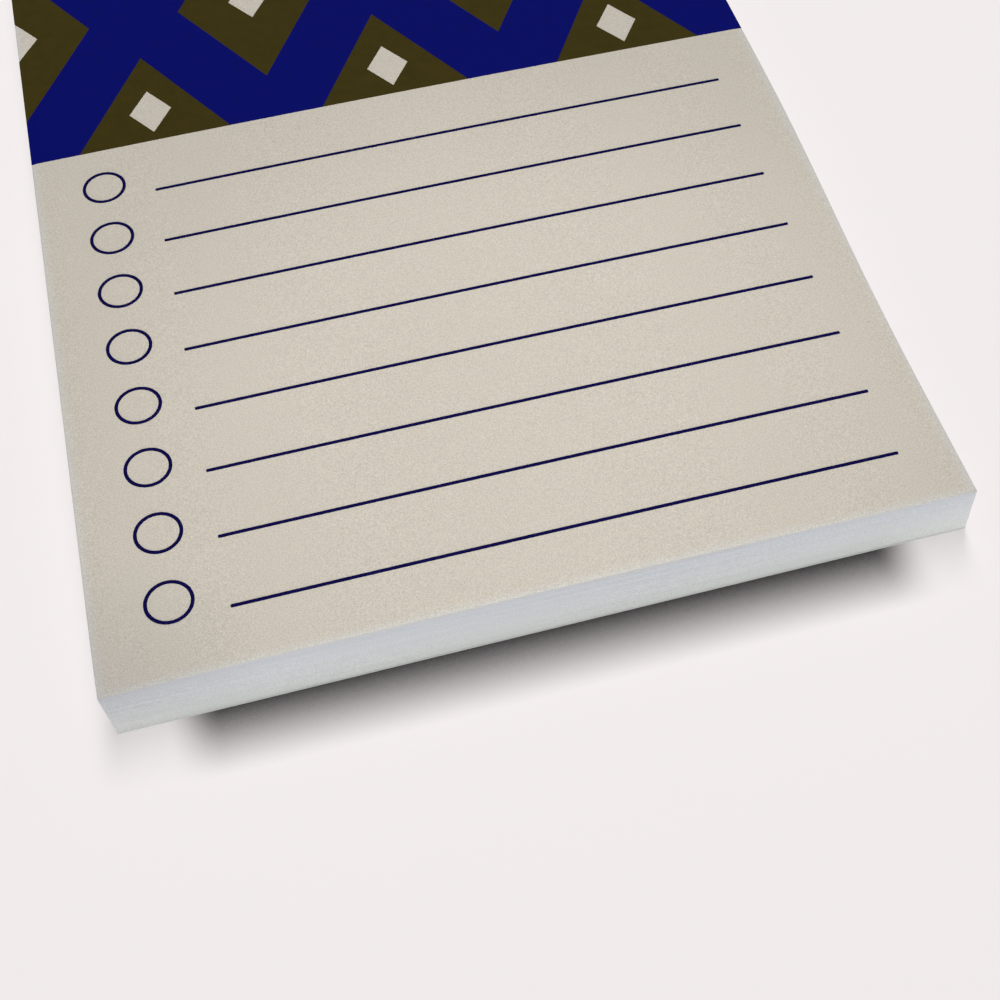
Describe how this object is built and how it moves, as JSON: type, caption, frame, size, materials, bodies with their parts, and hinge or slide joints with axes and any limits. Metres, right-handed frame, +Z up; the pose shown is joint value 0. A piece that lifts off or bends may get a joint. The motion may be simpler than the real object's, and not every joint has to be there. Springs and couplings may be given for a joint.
{
  "type": "sticky note pad",
  "caption": "Glued block of printed checklist notes on a backing sheet: header band, tick rings and ruled lines.",
  "frame": {"origin": "middle of the pad's underside", "axes": "+X along the ruled lines, towards their right ends; +Y from the foot of the notes to the head; +Z up, out of the printed side"},
  "size_m": [0.076, 0.102, 0.0066],
  "materials": {
    "note_paper": "uncoated warm off-white writing paper, matt",
    "backing_paper": "smooth white release paper, satin",
    "adhesive": "thin clear low-tack adhesive",
    "blue_ink": "solid deep blue offset ink, slight sheen",
    "olive_ink": "solid dark olive offset ink, slight sheen",
    "line_ink": "deep navy offset ink, slight sheen"
  },
  "bodies": {
    "root": {"backing_sheet": "backing_paper", "note_sheets": "note_paper", "adhesive_strip": "adhesive", "header_field": "blue_ink", "header_lozenges": "olive_ink", "rule_lines": "line_ink", "tick_rings": "line_ink"}
  },
  "joints": []
}
